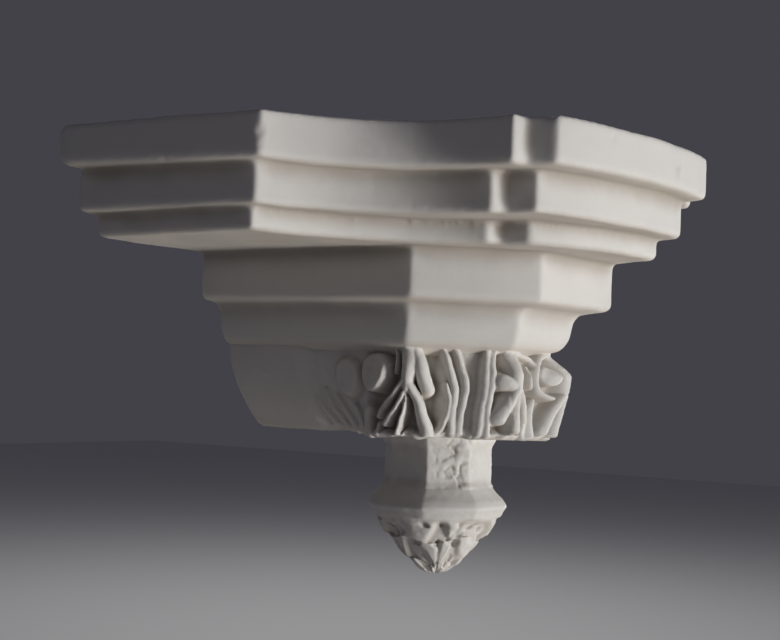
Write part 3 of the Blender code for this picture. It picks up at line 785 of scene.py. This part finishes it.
def stoneMaterial():
    s = stoneLook
    material = bpy.data.materials.new("stone")
    shop = Shop(material)
    here = shop.node("ShaderNodeTexCoord", {}, {}, 3)    # Object coordinates

    def spots(name):
        scale, detail, rough = s[name]
        inputs = {"Vector": here, "Scale": scale, "Detail": detail, "Roughness": rough}
        return shop.node("ShaderNodeTexNoise", {}, inputs)

    def mark(name):
        return shop.node("ShaderNodeAttribute", {"attribute_name": name}, {}, 2)

    patches, speckle, grain = spots("patches"), spots("speckle"), spots("grain")
    creases, deep, under = mark("creases"), mark("deep"), mark("under")
    stops = tuple(zip(s["patchEdges"], ((0, 0, 0, 1), (1, 1, 1, 1))))
    soft = shop.node("ShaderNodeValToRGB", {"stops": stops}, {"Fac": patches})
    base = shop.blend(soft * s["coolShare"], s["pale"], s["cool"])
    # painted shade: faces that look down are tinted warm and darker, the deep hollows are darkened as
    # painted shadow, and the creases as painted shade
    layers = ((under, patches, "warm"), (deep, patches, "stain"), (creases, speckle, "dust"))
    for place, spread, tint in layers:    # under the mouldings, in the hollows, and in the creases
        uneven, even = s[tint + "Share"]
        base = shop.blend(place * (spread * uneven + even), base, s[tint])
    shop.join(base, shop.surface.inputs["Base Color"])
    lowest = s["roughness"] - s["roughnessSpread"] / 2
    shop.join(speckle * s["roughnessSpread"] + lowest, shop.surface.inputs["Roughness"])
    shop.surface.inputs["Specular IOR Level"].default_value = s["specular"]
    height = speckle * s["speckleHeight"] + grain * s["grainHeight"]
    inputs = {"Strength": s["bump"], "Distance": s["bumpDepth"], "Height": height}
    shop.join(shop.node("ShaderNodeBump", {}, inputs), shop.surface.inputs["Normal"])
    return material


# marks on the surface: rounds of smoothing, and the depth in metres that counts as full
markLook = {"creases": (6, 0.0012), "deep": (34, 0.0040), "blurRounds": 3}


def markSurface(body):    # how hollow the surface is, finely and broadly, and how far it looks down
    co, out = pointsOf(body), normalsOf(body)
    edges = np.empty(len(body.data.edges) * 2, dtype=np.int64)
    body.data.edges.foreach_get("vertices", edges)
    edges = edges.reshape(-1, 2)

    def averaged(values):
        total = np.zeros_like(values)
        count = np.zeros(len(co))
        for a, b in ((0, 1), (1, 0)):
            np.add.at(total, edges[:, a], values[edges[:, b]])
            np.add.at(count, edges[:, a], 1)
        count = np.maximum(count, 1)
        return total / (count[:, None] if values.ndim == 2 else count)

    smoothed = co
    # the under mark is how far each face looks down; it carries painted warm shade under the mouldings
    marks = {"under": np.clip(-out[:, 2], 0, 1) ** 2}
    # the creases and deep marks say where painted shade and painted shadow darken the stone
    for name in ("creases", "deep"):    # the second goes on from the first one's smoothing
        rounds, size = markLook[name]
        for _ in range(rounds):
            smoothed = averaged(smoothed)
        hollow = np.clip(np.einsum("ij,ij->i", smoothed - co, out) / size, 0, 1)
        for _ in range(markLook["blurRounds"]):
            hollow = averaged(hollow)
        marks[name] = hollow
    for name, values in marks.items():
        attribute = body.data.attributes.new(name, "FLOAT", "POINT")
        attribute.data.foreach_set("value", values.astype(np.float32))


# Floor, light and camera

stageLook = {
    "floorZ": -1.20, "floorSize": 30.0, "floorColour": (0.80, 0.80, 0.80, 1), "floorRoughness": 0.9,
    "keyAzimuth": 8.0, "keyRise": -0.23, "keyDistance": 3.2, "keySize": 0.9, "keyPower": 71.0,
    "keyAim": (0.0, -0.2, -0.05), "lightColour": (1.0, 0.99, 0.975),
    "floorLightPlace": (3.8, 2.6, 2.5), "floorLightSize": 4.0, "floorLightPower": 60.0,
    "worldColour": (0.84, 0.82, 1.0, 1), "worldStrength": 0.066,
    "cameraPlace": (-1.0875, -0.8902, -0.1081), "lens": 66.28, "sensor": 36.0,
    "yaw": 54.5, "pitch": 2.313, "roll": 1.97,    # degrees
}


def stageAndLight():
    s = stageLook
    deselectAll()
    bpy.ops.mesh.primitive_plane_add(size=s["floorSize"], location=(0, 0, s["floorZ"]))
    floor = bpy.context.object
    floor.name = "floor"
    material = bpy.data.materials.new("floor")
    shop = Shop(material)
    shop.surface.inputs["Base Color"].default_value = s["floorColour"]
    shop.surface.inputs["Roughness"].default_value = s["floorRoughness"]
    floor.data.materials.append(material)

    azimuth = math.radians(s["keyAzimuth"])
    towards = Vector((math.sin(azimuth), -math.cos(azimuth), s["keyRise"])).normalized()
    keyPlace = Vector(s["keyAim"]) + towards * s["keyDistance"]
    keyTurn = towards.to_track_quat("Z", "Y").to_euler()
    for name, place, turn, size, power in (
            ("key", keyPlace, keyTurn, s["keySize"], s["keyPower"]),
            ("floorLight", s["floorLightPlace"], (0, 0, 0), s["floorLightSize"], s["floorLightPower"])):
        light = bpy.data.lights.new(name, "AREA")
        light.size = size
        light.energy = power
        light.color = s["lightColour"]
        lamp = bpy.data.objects.new(name, light)
        bpy.context.scene.collection.objects.link(lamp)
        lamp.location = place
        lamp.rotation_euler = turn

    world = bpy.data.worlds.new("room")
    world.use_nodes = True
    back = world.node_tree.nodes["Background"]
    back.inputs["Color"].default_value = s["worldColour"]
    back.inputs["Strength"].default_value = s["worldStrength"]
    bpy.context.scene.world = world
    bpy.context.scene.view_settings.view_transform = "Standard"


def photoCamera():
    s = stageLook
    data = bpy.data.cameras.new("photoCamera")
    data.lens, data.sensor_width = s["lens"], s["sensor"]
    camera = bpy.data.objects.new("photoCamera", data)
    bpy.context.scene.collection.objects.link(camera)
    turned = Matrix.Rotation(math.radians(-s["yaw"]), 4, "Z")
    turned = turned @ Matrix.Rotation(math.radians(90 + s["pitch"]), 4, "X")
    turned = turned @ Matrix.Rotation(math.radians(s["roll"]), 4, "Z")
    camera.matrix_world = Matrix.Translation(s["cameraPlace"]) @ turned
    bpy.context.scene.camera = camera


photoCamera()
stageAndLight()
print("camera, floor and light are set")

smoothUnder = math.radians(60)    # arrises sharper than this stay sharp
stone = stoneMaterial()
for make in (abacusPiece, friezePiece, pendantPiece):
    piece = make()
    piece.data.materials.clear()
    piece.data.materials.append(stone)
    markSurface(piece)
    makeOnly(piece)
    bpy.ops.object.shade_smooth_by_angle(angle=smoothUnder)
    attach(piece, "root")
    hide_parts("corbel")
    print("made", piece.name, sum(len(p.vertices) - 2 for p in piece.data.polygons), "triangles")
